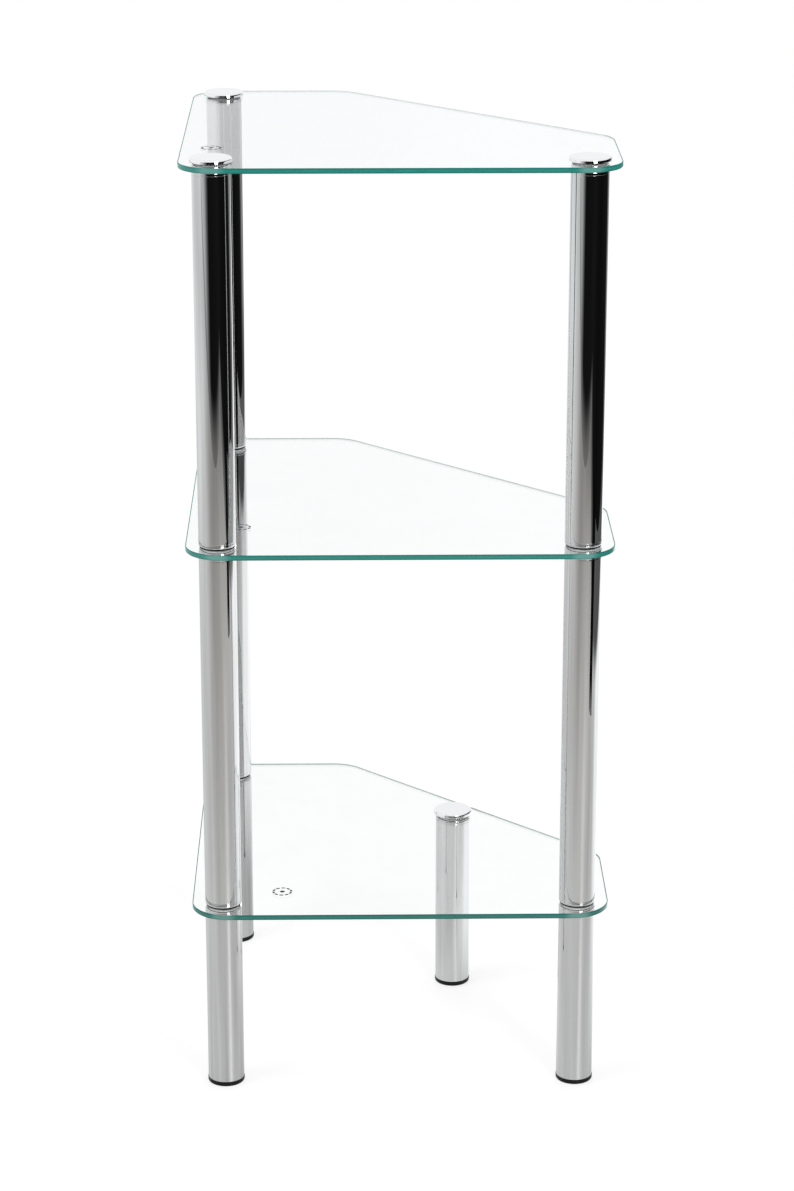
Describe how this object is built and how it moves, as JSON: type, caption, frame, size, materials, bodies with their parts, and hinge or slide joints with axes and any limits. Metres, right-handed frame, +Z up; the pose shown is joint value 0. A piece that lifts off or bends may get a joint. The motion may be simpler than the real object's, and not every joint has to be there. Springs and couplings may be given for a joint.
{
  "type": "glass corner shelving unit",
  "caption": "Free-standing corner shelving unit: pentagonal clear glass shelves bolted between chromed tube columns on black glides, with a short extra leg under the lowest shelf.",
  "frame": {"origin": "on the floor, at the centre of the square that the shelves are cut from", "axes": "+Z up; one long side of the shelves faces -Y and the other faces -X, so the square corner is at -X -Y and the diagonal side faces +X +Y"},
  "size_m": [0.4, 0.4, 0.912],
  "materials": {
    "glass": "clear float glass, polished teal edge",
    "chrome": "bright chrome plating",
    "stud_steel": "zinc plated",
    "washer_rubber": "matt black",
    "washer_silicone": "milky silicone",
    "bush_nylon": "natural nylon",
    "foot_plastic": "satin black"
  },
  "bodies": {
    "root": {"back_bottom_stud": "stud_steel", "back_cap": "chrome", "back_foot": "foot_plastic", "back_leg": "chrome", "back_leg_top_plug": "chrome", "back_lower_post": "chrome", "back_lower_post_bottom_plug": "chrome", "back_lower_post_top_plug": "chrome", "back_middle_stud": "stud_steel", "back_upper_post": "chrome", "back_upper_post_bottom_plug": "chrome", "back_upper_post_top_plug": "chrome", "bottom_shelf": "glass", "bottom_shelf_bushes": "bush_nylon", "bottom_shelf_lower_washers": "washer_silicone", "bottom_shelf_upper_washers": "washer_rubber", "corner_bottom_stud": "stud_steel", "corner_cap": "chrome", "corner_foot": "foot_plastic", "corner_leg": "chrome", "corner_leg_top_plug": "chrome", "corner_lower_post": "chrome", "corner_lower_post_bottom_plug": "chrome", "corner_lower_post_top_plug": "chrome", "corner_middle_stud": "stud_steel", "corner_upper_post": "chrome", "corner_upper_post_bottom_plug": "chrome", "corner_upper_post_top_plug": "chrome", "middle_shelf": "glass", "middle_shelf_bushes": "bush_nylon", "middle_shelf_lower_washers": "washer_silicone", "middle_shelf_upper_washers": "washer_rubber", "right_bottom_stud": "stud_steel", "right_cap": "chrome", "right_foot": "foot_plastic", "right_leg": "chrome", "right_leg_top_plug": "chrome", "right_lower_post": "chrome", "right_lower_post_bottom_plug": "chrome", "right_lower_post_top_plug": "chrome", "right_middle_stud": "stud_steel", "right_upper_post": "chrome", "right_upper_post_bottom_plug": "chrome", "right_upper_post_top_plug": "chrome", "short_leg": "chrome", "short_leg_cap": "chrome", "short_leg_foot": "foot_plastic", "short_leg_top_plug": "chrome", "top_shelf": "glass", "top_shelf_bushes": "bush_nylon", "top_shelf_lower_washers": "washer_silicone", "top_shelf_upper_washers": "washer_rubber"}
  },
  "joints": []
}
